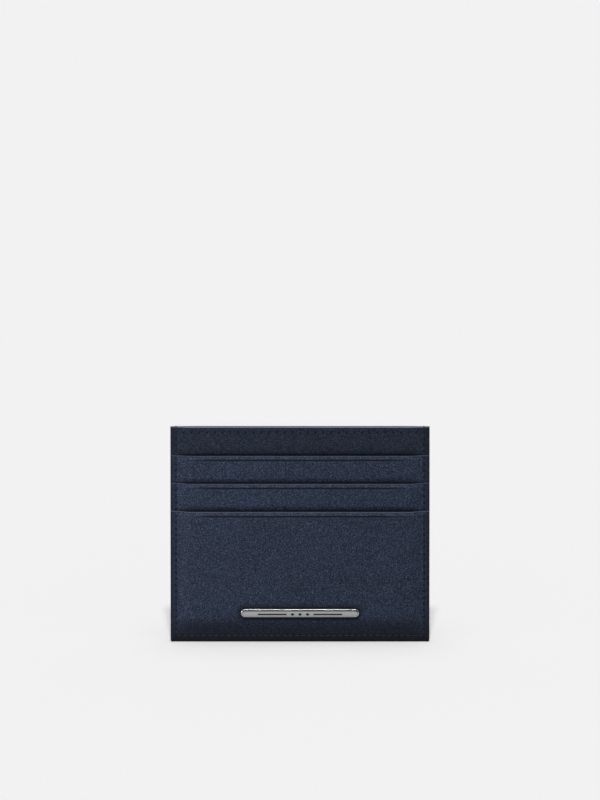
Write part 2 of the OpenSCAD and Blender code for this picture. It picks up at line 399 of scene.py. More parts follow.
class Finish:
    # a material, with its nodes made as they are asked for
    def __init__(self, name, **constants):
        self.material = bpy.data.materials.new(name)
        self.material.use_nodes = True
        self.tree = self.material.node_tree
        self.shader = self.tree.nodes["Principled BSDF"]
        for socket, value in constants.items():
            self.shader.inputs[socket.replace("_", " ")].default_value = value
        self.place = self.node("ShaderNodeTexCoord").outputs["Object"]
        parts = self.node("ShaderNodeSeparateXYZ", inputs={"Vector": self.place})
        self.x = Field(self, parts.outputs["X"])
        self.y = Field(self, parts.outputs["Y"])
        self.z = Field(self, parts.outputs["Z"])

    def node(self, kind, settings=None, inputs=None):
        node = self.tree.nodes.new(kind)
        for setting, value in (settings or {}).items():
            setattr(node, setting, value)
        for socket, value in (inputs or {}).items():
            self.feed(node.inputs[socket], value)
        return node

    def feed(self, socket, value):
        if isinstance(value, Field):
            value = value.socket
        if isinstance(value, bpy.types.NodeSocket):
            self.tree.links.new(value, socket)
        else:
            socket.default_value = value

    def maths(self, operation, *values):
        node = self.node("ShaderNodeMath", {"operation": operation}, dict(enumerate(values)))
        return Field(self, node.outputs[0])

    def larger(self, first, second):
        return self.maths("MAXIMUM", first, second)

    def length(self, first, second):
        return self.maths("SQRT", first * first + second * second)

    def step(self, value, low, high):
        # 0 at low and 1 at high, with a soft start and end
        settings = {"interpolation_type": "SMOOTHSTEP"}
        inputs = {"Value": value, "From Min": low, "From Max": high}
        return Field(self, self.node("ShaderNodeMapRange", settings, inputs).outputs["Result"])

    def noise(self, size, detail=2.0, roughness=0.5, vector=None):
        inputs = {
            "Vector": vector or self.place,
            "Scale": 1 / size,
            "Detail": detail,
            "Roughness": roughness,
        }
        return Field(self, self.node("ShaderNodeTexNoise", inputs=inputs).outputs["Fac"])

    def cells(self, size, feature="F1", output="Distance"):
        inputs = {"Vector": self.place, "Scale": 1 / size}
        node = self.node("ShaderNodeTexVoronoi", {"feature": feature}, inputs)
        return Field(self, node.outputs[output])

    def chance(self, size):
        # a number from 0 to 1 that is the same all over each cell
        parts = self.node("ShaderNodeSeparateColor", inputs={"Color": self.cells(size, output="Color")})
        return Field(self, parts.outputs["Red"])

    def stretched(self, x, y, z):
        # object coordinates scaled along each axis
        inputs = {0: self.place, 1: (x, y, z)}
        return self.node("ShaderNodeVectorMath", {"operation": "MULTIPLY"}, inputs).outputs[0]

    def mix(self, factor, first, second, blend="MIX"):
        settings = {"data_type": "RGBA", "blend_type": blend, "clamp_factor": True}
        return self.node("ShaderNodeMix", settings, {0: factor, 6: first, 7: second}).outputs[2]

    def bump(self, fieldHeight, strength, distance):
        inputs = {"Strength": strength, "Distance": distance, "Height": fieldHeight}
        node = self.node("ShaderNodeBump", inputs=inputs)
        self.feed(self.shader.inputs["Normal"], node.outputs["Normal"])

    def paint(self, **inputs):
        for socket, value in inputs.items():
            self.feed(self.shader.inputs[socket.replace("_", " ")], value)
        return self.material


def tone(red, green, blue, share=1.0):
    return (red * share, green * share, blue * share, 1.0)


leatherLook = {
    "base": (0.0160, 0.0254, 0.0530),
    # the light pebbles: a grain tone, also greyed as painted highlights on the pebbles' tops
    "light": (0.046, 0.063, 0.108),
    "middleShare": 1.02,  # the middle slot's tones, against the pocket's
    # painted shade: the body's leather is darkened where it lies behind the slots
    "bodyShadeShare": 0.64,
    "pebble": 0.28 * mm,
    "grain": 0.15 * mm,
    "cloud": 16 * mm,  # the tone drifts over this distance
    "cloudShares": (0.9, 1.12),  # between these shares of the base
    "darkShare": 0.3,  # the darkest pebbles
    "valleyShare": 0.15,  # the valleys between pebbles
    "valleyCover": 0.85,
    "valleyEdge": (0.02, 0.2),  # how far they reach, as shares of a pebble
    # painted light: the band between a mouth and its crease is lightened, as where it leans back towards
    # the light from above
    "bandLightShare": 1.12,  # the band between a mouth and its crease
    "bandEdge": 0.5 * mm,
    "marginShare": 0.3,  # outside the stitching
    "marginCover": 0.65,
    "marginEdge": (0.2 * mm, 0.5 * mm),  # it comes up from this far inside the rows to this far outside
    # painted shade: darker towards the pocket's foot and just above the mouth ahead of each layer
    "shadeShare": 0.1,  # the pocket's foot, and a layer that goes into its slot
    "footShadeCover": 0.9,
    "footHeight": 13 * mm,
    "slotShadeCover": 0.85,
    "slotEdge": (0.1 * mm, 1.3 * mm),  # above the mouth ahead
    # painted shade round the nameplate, where the bar shades the leather drawn in around it
    "haloShadeShare": 0.08,  # around the nameplate
    "haloShadeCover": 0.75,
    "haloWidth": 2.6 * mm,
    # painted shade along the crease's line
    "creaseShadeShare": 0.08,
    "creaseEdge": (0.1 * mm, 0.65 * mm),  # the crease's line fades out between these
    # painted shade in the needle holes
    "holeShadeShare": 0.06,
    "holeEdge": (0.3 * mm, 0.68 * mm),
    # the edge paint's lap: real paint, drawn darker than the paint itself as painted shade at the edges
    "lapShare": 0.35,  # of the edge paint's tone, where it laps over the leather
    "sideLap": (0.35 * mm, 0.85 * mm),
    "bottomLap": (0.35 * mm, 1.0 * mm),
    "lineCover": 0.95,  # creases, holes and laps
    "pebbleRise": 0.8,
    "grainRise": 0.25,
    "bumpDistance": 0.1 * mm,
    "bumpStrength": 0.8,
    "roughness": 0.52,
    "wear": 0.1,
    "specular": 0.12,
}


def rowHoles(finish, along, pitch, start, across):
    # 1 at the needle holes of a stitch row, 0 away from them
    turns = (along - start) / pitch
    offset = abs(turns - finish.maths("ROUND", turns)) * pitch
    return 1 - finish.step(finish.length(offset, across), *leatherLook["holeEdge"])


def needleHoles(finish, layer, side):
    # 1 at the holes of every row that shows on a layer
    start = sewing["bottomZ"]
    holes = rowHoles(finish, finish.z, sewing["sideStep"], start, side - sewing["rowX"])
    if layer["name"] in ("pocket", "back"):
        across = finish.z - sewing["bottomZ"]
        holes = finish.larger(holes, rowHoles(finish, finish.x, sewing["bottomStep"], 0.0, across))
    if layer["name"] in ("body", "back"):
        across = finish.z - sewing["hemZ"]
        holes = finish.larger(holes, rowHoles(finish, finish.x, sewing["hemStep"], 0.0, across))
    return holes


def barReach(finish):
    # how far a point lies from the outline of the nameplate's bar
    low, high = boxes["nameplate_bar"]
    radius = (high.z - low.z) / 2
    beyond = finish.larger(abs(finish.x) - (high.x - radius), 0.0)
    above = finish.z - (low.z + high.z) / 2
    return finish.length(beyond, above) - radius


def leatherFinish(name, layer, share=1.0):
    look = leatherLook
    base = look["base"]
    finish = Finish(name, Specular_IOR_Level=look["specular"])
    side = abs(finish.x)
    isOuter = layer["name"] in ("pocket", "back")

    # pebbles of varied tone, with dark valleys between them
    pebbles = finish.cells(look["pebble"], "DISTANCE_TO_EDGE")
    chance = finish.chance(look["pebble"])
    grain = finish.noise(look["grain"], 3.0, 0.6)
    cloudy = finish.noise(look["cloud"], 2.0)
    dim, bright = [tone(*base, share * cloudShare) for cloudShare in look["cloudShares"]]
    colour = finish.mix(finish.step(cloudy, 0.3, 0.7), dim, bright)
    # light pebbles, partly painted highlights
    colour = finish.mix(finish.step(chance, 0.5, 1.0), colour, tone(*look["light"], share))
    dark = 1 - finish.step(chance, 0.0, 0.5)
    colour = finish.mix(dark, colour, tone(*base, share * look["darkShare"]))
    valleys = 1 - finish.step(pebbles, *look["valleyEdge"])
    colour = finish.mix(valleys * look["valleyCover"], colour, tone(*base, share * look["valleyShare"]))

    # the margins outside the stitching, darker
    inner, outer = look["marginEdge"]
    margin = finish.step(side, sewing["rowX"] - inner, sewing["rowX"] + outer)
    if isOuter:
        low = 1 - finish.step(finish.z, sewing["bottomZ"] - outer, sewing["bottomZ"] + inner)
        margin = finish.larger(margin, low)
    colour = finish.mix(margin * look["marginCover"], colour, tone(*base, share * look["marginShare"]))

    # painted shade: darker at the pocket's foot, round the nameplate, and where a layer goes into its slot
    shade = tone(*base, share * look["shadeShare"])
    if layer["name"] == "pocket":
        footShade = 1 - finish.step(finish.z, 0.0, look["footHeight"])
        colour = finish.mix(footShade * look["footShadeCover"], colour, shade)
        haloShade = 1 - finish.step(barReach(finish), 0.0, look["haloWidth"])
        colour = finish.mix(haloShade * look["haloShadeCover"], colour, tone(*base, look["haloShadeShare"]))
    if layer["name"] in mouthAhead:
        above = finish.z - mouthAhead[layer["name"]]
        slot = 1 - finish.step(above, *look["slotEdge"])
        colour = finish.mix(slot * (1 - margin) * look["slotShadeCover"], colour, shade)

    # painted shade in the needle holes
    holes = needleHoles(finish, layer, side)
    colour = finish.mix(holes * look["lineCover"], colour, tone(*base, look["holeShadeShare"]))
    # the edge paint's lap over the leather, darkened further as painted shade
    outer, inner = look["sideLap"]
    lap = finish.step(side, halfWidth - inner, halfWidth - outer)
    if isOuter:
        lap = finish.larger(lap, 1 - finish.step(finish.z, *look["bottomLap"]))
    colour = finish.mix(lap * look["lineCover"], colour, tone(*paintLook["base"], look["lapShare"]))

    if layer["name"] in ("pocket", "middle", "top"):
        creaseZ = layer["mouth"] - leatherShape["creaseDrop"]
        # painted light on the band above each crease
        band = finish.step(finish.z, creaseZ, creaseZ + look["bandEdge"])
        bandLightTone = tone(*[look["bandLightShare"]] * 3)
        colour = finish.mix(band * (1 - margin), colour, bandLightTone, "MULTIPLY")
        # painted shade along the crease
        line = 1 - finish.step(abs(finish.z - creaseZ), *look["creaseEdge"])
        line = line * finish.step(sewing["rowX"] - side, 0.0, leatherShape["creaseFade"])
        colour = finish.mix(line * look["lineCover"], colour, tone(*base, look["creaseShadeShare"]))

    relieved = finish.step(pebbles, 0.0, 0.4) * look["pebbleRise"] + grain * look["grainRise"]
    finish.bump(relieved, look["bumpStrength"], look["bumpDistance"])
    worn = finish.step(grain, 0.35, 0.7)
    return finish.paint(Base_Color=colour, Roughness=look["roughness"] + worn * look["wear"])


paintLook = {
    "base": (0.008, 0.010, 0.017),
    # painted highlight: the mouth edges' paint is lighter than the side edges', as where they catch the
    # light
    "mouth": (0.020, 0.026, 0.042),
    # painted highlight: the rim's paint is lighter still, as where its top edges catch the light from above
    "rim": (0.060, 0.062, 0.075),
    "speckle": 0.35 * mm,
    "shares": (0.7, 1.3),
    "bumpStrength": 0.35,
    "bumpDistance": 0.05 * mm,
    "roughness": 0.5,
    "unevenness": 0.15,
    "specular": 0.22,
}


def paintFinish(name, base):
    look = paintLook
    finish = Finish(name, Specular_IOR_Level=look["specular"])
    speckle = finish.noise(look["speckle"], 3.0, 0.7)
    dim, bright = look["shares"]
    colour = finish.mix(finish.step(speckle, 0.35, 0.7), tone(*base, dim), tone(*base, bright))
    finish.bump(speckle, look["bumpStrength"], look["bumpDistance"])
    return finish.paint(Base_Color=colour, Roughness=look["roughness"] + speckle * look["unevenness"])


threadLook = {
    "dark": (0.005, 0.007, 0.014),
    "light": (0.017, 0.022, 0.040),
    "ply": 0.34 * mm,
    "fuzz": 0.12 * mm,
    "roughness": 0.6,
    "specular": 0.12,
}


def threadFinish():
    # plies that wind slantwise round each stitch
    finish = Finish("navyThread", Specular_IOR_Level=threadLook["specular"])
    slantwise = finish.x + finish.z * 0.8 + finish.y * 0.6
    ply = finish.maths("SINE", slantwise * (2 * math.pi / threadLook["ply"]))
    fuzz = finish.noise(threadLook["fuzz"], 2.0)
    plied = finish.step(ply, -0.6, 0.8)
    colour = finish.mix(plied, tone(*threadLook["dark"]), tone(*threadLook["light"]))
    finish.bump(ply * 0.5 + fuzz * 0.4, 0.6, 0.05 * mm)
    return finish.paint(Base_Color=colour, Roughness=threadLook["roughness"] + fuzz * 0.15)


liningLook = {
    "dark": (0.010, 0.013, 0.022),
    "light": (0.022, 0.028, 0.044),
    "yarn": 0.36 * mm,
    "fuzz": 0.5 * mm,
    "roughness": 0.7,
    "sheen": 0.2,
    "specular": 0.25,
}


def liningFinish():
    # a fine plain weave
    look = liningLook
    finish = Finish("liningWeave", Specular_IOR_Level=look["specular"], Sheen_Weight=look["sheen"])
    turns = 2 * math.pi / look["yarn"]
    weft = finish.maths("SINE", finish.x * turns)
    warp = finish.maths("SINE", finish.z * turns)
    fuzz = finish.noise(look["fuzz"], 3.0)
    woven = finish.step(weft * warp + fuzz, -0.4, 1.2)
    colour = finish.mix(woven, tone(*look["dark"]), tone(*look["light"]))
    finish.bump(weft * warp, 0.5, 0.04 * mm)
    return finish.paint(Base_Color=colour, Roughness=look["roughness"] + fuzz * 0.15)


boardLook = {
    "dark": (0.07, 0.06, 0.05),
    "light": (0.17, 0.15, 0.125),
    "size": 0.6 * mm,
    "detail": 4.0,
    "harshness": 0.65,
    "bumpStrength": 0.4,
    "bumpDistance": 0.05 * mm,
    "roughness": 0.8,
    "unevenness": 0.1,
    "specular": 0.3,
}

bondLook = {
    "dark": (0.008, 0.009, 0.013),
    "light": (0.022, 0.024, 0.032),
    "size": 1.2 * mm,
    "detail": 3.0,
    "harshness": 0.5,
    "bumpStrength": 0.3,
    "bumpDistance": 0.05 * mm,
    "roughness": 0.55,
    "unevenness": 0.15,
    "specular": 0.4,
}

enamelLook = {
    "dark": (0.003, 0.003, 0.004),
    "light": (0.007, 0.007, 0.008),
    "size": 0.2 * mm,
    "detail": 3.0,
    "harshness": 0.5,
    "bumpStrength": 0.1,
    "bumpDistance": 0.02 * mm,
    "roughness": 0.35,
    "unevenness": 0.15,
    "specular": 0.3,
}


def mottledFinish(name, look):
    # board, glue and enamel: a mottle between two tones
    finish = Finish(name, Specular_IOR_Level=look["specular"])
    mottle = finish.noise(look["size"], look["detail"], look["harshness"])
    colour = finish.mix(mottle, tone(*look["dark"]), tone(*look["light"]))
    finish.bump(mottle, look["bumpStrength"], look["bumpDistance"])
    return finish.paint(Base_Color=colour, Roughness=look["roughness"] + mottle * look["unevenness"])


metalLook = {
    "face": (0.40, 0.405, 0.40),
    "faceShares": (0.86, 1.12),
    "faceRoughness": 0.3,
    "brush": 0.06 * mm,
    # painted shade: the bevel's steel is darker than the face's, for the dark stripe under the top lip
    "bevel": (0.32, 0.324, 0.33),
    "bevelRoughness": 0.07,
    "lip": (0.42, 0.42, 0.415),
    "lipRoughness": 0.32,
    "hazeShares": (0.92, 1.06),
}


def brushedFinish():
    finish = Finish("brushedSteel", Metallic=1.0, Anisotropic=0.4)
    lines = finish.noise(metalLook["brush"], 3.0, 0.6, finish.stretched(0.02, 1.0, 1.0))
    dim, bright = metalLook["faceShares"]
    colour = finish.mix(lines, tone(*metalLook["face"], dim), tone(*metalLook["face"], bright))
    finish.bump(lines, 0.25, 0.01 * mm)
    return finish.paint(Base_Color=colour, Roughness=metalLook["faceRoughness"] + lines * 0.12)


def polishedFinish(name, base, roughness):
    finish = Finish(name, Metallic=1.0)
    haze = finish.noise(2 * mm, 3.0)
    dim, bright = metalLook["hazeShares"]
    colour = finish.mix(haze, tone(*base, dim), tone(*base, bright))
    finish.bump(finish.noise(0.4 * mm, 2.0), 0.03, 0.01 * mm)
    return finish.paint(Base_Color=colour, Roughness=roughness + haze * 0.05)


# The stitch pitches come out so that whole stitches fit between the corner holes.
sideLength = sewing["hemZ"] - sewing["bottomZ"]
levelLength = 2 * sewing["rowX"]
sewing["sideStep"] = sideLength / round(sideLength / sewing["sidePitch"])
sewing["bottomStep"] = levelLength / (2 * round(levelLength / sewing["bottomPitch"] / 2))
sewing["hemStep"] = levelLength / (2 * round(levelLength / sewing["hemPitch"] / 2))

leathers = {
    "pocket": leatherFinish("pocketLeather", layers["pocket"]),
    "middle": leatherFinish("middleLeather", layers["middle"], leatherLook["middleShare"]),
    "top": leatherFinish("topLeather", layers["top"]),
    "body": leatherFinish("bodyLeather", layers["body"], leatherLook["bodyShadeShare"]),
    "back": leatherFinish("backLeather", layers["back"]),
}
lining = liningFinish()
board = mottledFinish("stiffenerBoard", boardLook)
bond = mottledFinish("seamBond", bondLook)
thread = threadFinish()
edgePaint = paintFinish("edgePaint", paintLook["base"])
mouthPaint = paintFinish("mouthPaint", paintLook["mouth"])
rimPaint = paintFinish("rimPaint", paintLook["rim"])
print("finishes made")

# How closely the sheets' grids are spaced.
gridStep = {
    "fine": 0.22 * mm,
    "coarse": 1.1 * mm,
    "hidden": 1.6 * mm,
    "busy": 6 * mm,  # the fine steps reach this far in from an edge
    "beside": 2 * mm,  # and this far round the nameplate
}


def sheetLines(low, high, leather):
    # grid lines across and up a sheet, close together where it is pressed, creased or bent
    fine = gridStep["fine"] if leather else 4 * gridStep["fine"]
    coarse = gridStep["coarse"] if leather else gridStep["hidden"]
    busy = gridStep["busy"]
    xs = spread((low.x, low.x + busy, fine), (low.x + busy, high.x - busy, coarse),
                (high.x - busy, high.x, fine))
    stops = [(high.z - busy / 2, coarse), (high.z, fine)]
    if low.z < busy:
        barLow, barHigh = boxes["nameplate_bar"]
        below = barLow.z - gridStep["beside"]
        above = barHigh.z + gridStep["beside"]
        stops = [(busy, fine), (below, coarse), (above, 2 * fine)] + stops
    elif leather:
        ahead = max(mouth for mouth in mouthAhead.values() if mouth < high.z - gridStep["beside"])
        stops = [(ahead, coarse), (ahead + leatherShape["tuckHeight"], fine)] + stops
    starts = [low.z] + [stop for stop, step in stops]
    zs = spread(*((start, stop, step) for start, (stop, step) in zip(starts, stops)))
    return xs, zs


def makeSheet(name, node, layerName, finish, slot, leather=False):
    low, high = boxes[node]
    layer = layers[layerName]
    isBack = layerName == "back"

    def frontPoint(x, z):
        point = layPoint(layer, x, low.y, z, high.x)
        if leather and not isBack:
            point.y += relief(layer, x, z, high.y - low.y)
        return point

    def backPoint(x, z):
        point = layPoint(layer, x, high.y, z, high.x)
        if leather and isBack:
            point.y -= relief(layer, x, z, high.y - low.y)
        return point

    xs, zs = sheetLines(low, high, leather)
    edgeRound = leatherShape["edgeRound"] if leather else 0.0
    piece = makeSlab(name, xs, zs, frontPoint, backPoint, edgeRound)
    giveFinish(piece, finish)
    return settle(piece, slot, node)


leatherPieces = {
    "frontPocketPanel": ("front_pocket_panel", "pocket"),
    "middleSlotPanel": ("middle_slot_panel", "middle"),
    "topSlotPanel": ("top_slot_panel", "top"),
    "frontBodyPanel": ("front_body_panel", "body"),
    "backBodyPanel": ("back_body_panel", "back"),
}
for pieceName, (node, layerName) in leatherPieces.items():
    makeSheet(pieceName, node, layerName, leathers[layerName], "outer_leather", True)
print("leather panels made")

boardPieces = {
    "frontPocketStiffener": ("front_pocket_stiffener", "pocket"),
    "frontBodyStiffener": ("front_body_stiffener", "body"),
    "backBodyStiffener": ("back_body_stiffener", "back"),
}
for pieceName, (node, layerName) in boardPieces.items():
    makeSheet(pieceName, node, layerName, board, "stiffener_board")

clothPieces = {
    "frontPocketLining": ("front_pocket_lining", "pocket", "frontPocketStiffener"),
    "middleSlotTail": ("middle_slot_tail", "middle", "middleSlotPanel"),
    "topSlotTail": ("top_slot_tail", "top", "topSlotPanel"),
    "frontBodyLining": ("front_body_lining", "body", "frontBodyStiffener"),
    "backBodyLining": ("back_body_lining", "back", "backBodyStiffener"),
}
for pieceName, (node, layerName, support) in clothPieces.items():
    cloth = makeSheet(pieceName, node, layerName, lining, "lining_fabric")
    low, high = boxes[node]
print("boards, linings and tails made")

bondShape = {
    "step": 1.2 * mm,
    "parting": 0.02 * mm,  # between a side bond's two blocks
    "seamHeight": 2.5 * mm,  # of the bond at the foot of each tail
}


def makeBlock(name, ahead, behind, left, right, bottom, top):
    # between the back of one layer and the face of another
    def frontPoint(x, z):
        return layPoint(layers[ahead], x, layers[ahead]["back"], z)

    def backPoint(x, z):
        return layPoint(layers[behind], x, layers[behind]["front"], z)

    xs = spread((left, right, bondShape["step"]))
    zs = spread((bottom, top, bondShape["step"]))
    return makeSlab(name, xs, zs, frontPoint, backPoint)


def makeBond(name, node, blocks):
    piece = joinPieces(name, [makeBlock(name, *block) for block in blocks])
    giveFinish(piece, bond)
    return settle(piece, "seam_bond", node)


middleFoot = boxes["middle_slot_panel"][0].z
topFoot = boxes["top_slot_panel"][0].z
for sideName in ("left", "right"):
    low, high = boxes[sideName + "_seam_bond"]
    makeBond(sideName + "SeamBond", sideName + "_seam_bond", [
        ("pocket", "body", low.x, high.x, low.z, middleFoot),
        ("middle", "body", low.x, high.x, middleFoot + bondShape["parting"], topFoot),
    ])

low, high = boxes["bottom_seam_bond"]
makeBond("bottomSeamBond", "bottom_seam_bond", [("pocket", "body", low.x, high.x, low.z, high.z)])

low, high = boxes["tail_seam_bond"]
topTailFoot = boxes["top_slot_tail"][0].z
makeBond("tailSeamBond", "tail_seam_bond", [
    ("middle", "body", low.x, high.x, low.z, low.z + bondShape["seamHeight"]),
    ("top", "body", low.x, high.x, topTailFoot, topTailFoot + bondShape["seamHeight"]),
])
print("bonded margins made")

paintShape = {
    "bulge": 0.17 * mm,
    "root": 0.08 * mm,  # how far it goes into the leather
    "overlap": 0.02 * mm,
    "squareness": 0.55,
    "sides": 14,
    "footStep": 0.5 * mm,
    "mouthStep": 0.12 * mm,
    "step": 1.2 * mm,
    "stepAside": 0.5 * mm,  # the height over which a side's face steps back past a mouth
    "endStep": 0.4 * mm,
    "endLength": 6 * mm,
    "levelStep": 2 * mm,
}

sheetHalf = boxes["front_body_panel"][1].x
sheetTop = boxes["front_body_panel"][1].z
sheetFoot = boxes["front_pocket_panel"][0].z
bottomHalf = halfWidth - leatherShape["cornerRadius"]


def domed(turn):
    # cross-section of a coat of edge paint: how far along its width (-1 to 1) and how far out
    angle = 2 * math.pi * turn
    along = -math.copysign(abs(math.cos(angle)) ** paintShape["squareness"], math.cos(angle))
    out = math.sin(angle)
    return along, out * (paintShape["bulge"] if out > 0 else paintShape["root"])


def sideFaceY(z):
    # y of the outermost face at the side edge, stepping back past each mouth
    y = outerY(layers["pocket"], halfWidth, min(z, layers["pocket"]["mouth"]))
    for ahead, behind in (("pocket", "middle"), ("middle", "top"), ("top", "body")):
        mouth = layers[ahead]["mouth"]
        nextY = outerY(layers[behind], halfWidth, max(z, mouth))
        y += (nextY - y) * smooth((z - mouth) / paintShape["stepAside"])
    return y


def sidePaint(side):
    low, high = boxes["side_edge_paint"]
    start = low.z + 0.01 * mm
    step = paintShape["footStep"]
    stretches = []
    for name in ("pocket", "middle", "top"):
        mouth = layers[name]["mouth"]
        stretches.append((start, mouth - 0.3 * mm, step))
        stretches.append((mouth - 0.3 * mm, mouth + mm, paintShape["mouthStep"]))
        start = mouth + mm
        step = paintShape["step"]
    stretches.append((start, high.z - 0.05 * mm, step))

    def placePoint(z, turn):
        frontY = sideFaceY(z)
        backY = outerY(layers["back"], halfWidth, z)
        along, out = domed(turn)
        edge = layPoint(layers["body"], side * sheetHalf, 0.0, z, sheetHalf).x
        y = (frontY + backY) / 2 + along * ((backY - frontY) / 2 + paintShape["overlap"])
        return Vector((edge + side * out, y, z))

    return makeTube("sidePaint", spread(*stretches), paintShape["sides"], placePoint)


def levelPaint(layerNames, z, upward, half):
    # a coat along a level edge, over the layers from the first to the last
    first = layers[layerNames[0]]
    last = layers[layerNames[-1]]
    end = paintShape["endLength"]
    fine = paintShape["endStep"]
    lines = spread((-half, -half + end, fine), (-half + end, half - end, paintShape["levelStep"]),
                   (half - end, half, fine))

    def placePoint(x, turn):
        near = outerY(first, x, z)
        if first["name"] == "back":
            near = layPoint(first, x, first["front"], z).y
        far = layPoint(last, x, last["back"], z).y
        if last["name"] == "back":
            far = outerY(last, x, z)
        along, out = domed(turn)
        point = layPoint(first, x, 0.0, z)
        y = (near + far) / 2 + along * ((far - near) / 2 + paintShape["overlap"])
        return Vector((x, y, point.z + upward * out))

    return makeTube("levelPaint", lines, paintShape["sides"], placePoint)


def paintPiece(name, node, coats, finish):
    piece = joinPieces(name, coats)
    giveFinish(piece, finish)
    settle(piece, "edge_paint", node)


paintPiece("sideEdgePaint", "side_edge_paint", [sidePaint(-1), sidePaint(1)], edgePaint)
bottomCoat = levelPaint(["pocket", "back"], sheetFoot, -1, bottomHalf)
paintPiece("bottomEdgePaint", "bottom_edge_paint", [bottomCoat], edgePaint)
slotLayers = ("pocket", "middle", "top")
mouthCoats = [levelPaint([name], layers[name]["mouth"], 1, sheetHalf) for name in slotLayers]
paintPiece("mouthEdgePaint", "mouth_edge_paint", mouthCoats, mouthPaint)
rimCoats = [levelPaint([name], sheetTop, 1, sheetHalf) for name in ("body", "back")]
paintPiece("rimEdgePaint", "rim_edge_paint", rimCoats, rimPaint)
print("edges painted")


def stitchBlank():
    # one stitch of unit length along z, fat in the middle and blunt at its ends
    deselectAll()
    bpy.ops.mesh.primitive_uv_sphere_add(segments=8, ring_count=6, radius=0.5)
    blank = bpy.context.object
    for vertex in blank.data.vertices:
        vertex.co.z = math.copysign(abs(2 * vertex.co.z) ** sewing["bluntness"] / 2, vertex.co.z)
    return blank


stitch = stitchBlank()


def sewRow(points, outward, cover=sewing["cover"]):
    # a stitch between each two neighbouring needle holes
    made = []
    for start, stop in zip(points, points[1:]):
        along = (stop - start).normalized()
        across = along.cross(outward).normalized()
        lift = across.cross(along)
        if lift.dot(outward) < 0:
            lift = -lift
        first = start + across * sewing["slant"]
        second = stop - across * sewing["slant"]
        along = (second - first).normalized()
        across = lift.cross(along)
        copy = bpy.data.objects.new("stitch", stitch.data.copy())
        bpy.context.scene.collection.objects.link(copy)
        centre = (first + second) / 2 + lift * sewing["threadHeight"] * sewing["proud"]
        turn = Matrix((across, lift, along)).transposed().to_4x4()
        length = (second - first).length * cover / sewing["shoulder"]
        size = Matrix.Diagonal((sewing["threadWidth"], sewing["threadHeight"], length, 1))
        copy.data.transform(Matrix.Translation(centre) @ turn @ size)
        made.append(copy)
    return made


def faceLayer(z):
    # the layer whose leather shows at the front at this height
    for name in ("pocket", "middle", "top"):
        if z <= layers[name]["mouth"] + 0.1 * mm:
            return layers[name]
    return layers["body"]


def sideRow(side, isBack):
    count = round(sideLength / sewing["sideStep"])
    points = []
    for k in range(count + 1):
        z = sewing["bottomZ"] + k * sewing["sideStep"]
        layer = layers["back"] if isBack else faceLayer(z)
        x = side * sewing["rowX"]
        points.append(Vector((x, outerY(layer, x, z), z)))
    return points


def levelRow(layer, z, step):
    count = round(levelLength / step)
    xs = [-sewing["rowX"] + k * step for k in range(count + 1)]
    return [Vector((x, outerY(layer, x, z), z)) for x in xs]


forward = Vector((0, -1, 0))
backward = Vector((0, 1, 0))


def finishThread(name, node, stitches):
    piece = joinPieces(name, stitches)
    smoothShade(piece, 80)
    giveFinish(piece, thread)
    return settle(piece, "thread", node)


for side, sideName in ((-1, "left"), (1, "right")):
    frontPoints = sideRow(side, False)
    backPoints = sideRow(side, True)
    # the last stitches of each side go over the rim
    overRim = [frontPoints[-1], Vector((frontPoints[-1].x, frontPoints[-1].y, height))]
    overBack = [Vector((backPoints[-1].x, backPoints[-1].y, height)), backPoints[-1]]
    stitches = sewRow(frontPoints, forward) + sewRow(backPoints, backward)
    stitches += sewRow(overRim, forward, 1.0) + sewRow(overBack, backward, 1.0)
    stitches += sewRow([overRim[1], overBack[0]], Vector((0, 0, 1)), sewing["rimCover"])
    finishThread(sideName + "SeamThread", sideName + "_seam_thread", stitches)

bottomRows = sewRow(levelRow(layers["pocket"], sewing["bottomZ"], sewing["bottomStep"]), forward)
bottomRows += sewRow(levelRow(layers["back"], sewing["bottomZ"], sewing["bottomStep"]), backward)
finishThread("bottomSeamThread", "bottom_seam_thread", bottomRows)
frontHem = sewRow(levelRow(layers["body"], sewing["hemZ"], sewing["hemStep"]), forward)
finishThread("frontHemThread", "front_hem_thread", frontHem)
backHem = sewRow(levelRow(layers["back"], sewing["hemZ"], sewing["hemStep"]), backward)
finishThread("backHemThread", "back_hem_thread", backHem)

tailRows = []
for layerName, node in (("middle", "middle_slot_tail"), ("top", "top_slot_tail")):
    low, high = boxes[node]
    xs = spread((low.x + 2 * mm, high.x - 2 * mm, sewing["bottomPitch"]))
    z = low.z + bondShape["seamHeight"] / 2
    tailRows += sewRow([layPoint(layers[layerName], x, low.y, z) for x in xs], forward)
finishThread("tailThread", "tail_thread", tailRows)
bpy.data.objects.remove(stitch)
print("stitching made")

barShape = {
    "bevelWidth": 0.75 * mm,
    "bevelDepth": 0.3 * mm,
    "edgeRound": 0.1 * mm,
    "endVertices": 64,
    "engraving": 0.12 * mm,
    "recess": 0.03 * mm,  # the enamel lies this far below the face
    "lineLength": 11.1 * mm,
    "lineHeight": 0.6 * mm,
    "lineGap": 5.2 * mm,
    "markDrop": 0.37 * mm,
    "lozengeWidth": 1.7 * mm,
    "lozengeHeight": 1.2 * mm,
    "lozengePitch": 2.9 * mm,
    "lozengeCount": 3,
    "studRadius": 0.6 * mm,
    "studInset": 5.8 * mm,
    "studRound": 0.08 * mm,
}

barLow, barHigh = boxes["nameplate_bar"]
barFace = barLow.y
barRoot = boxes["front_pocket_panel"][0].y + leatherShape["dimpleDepth"]
barLength = barHigh.x - barLow.x
barHeight = barHigh.z - barLow.z
barZ = (barHigh.z + barLow.z) / 2
markZ = barZ - barShape["markDrop"]


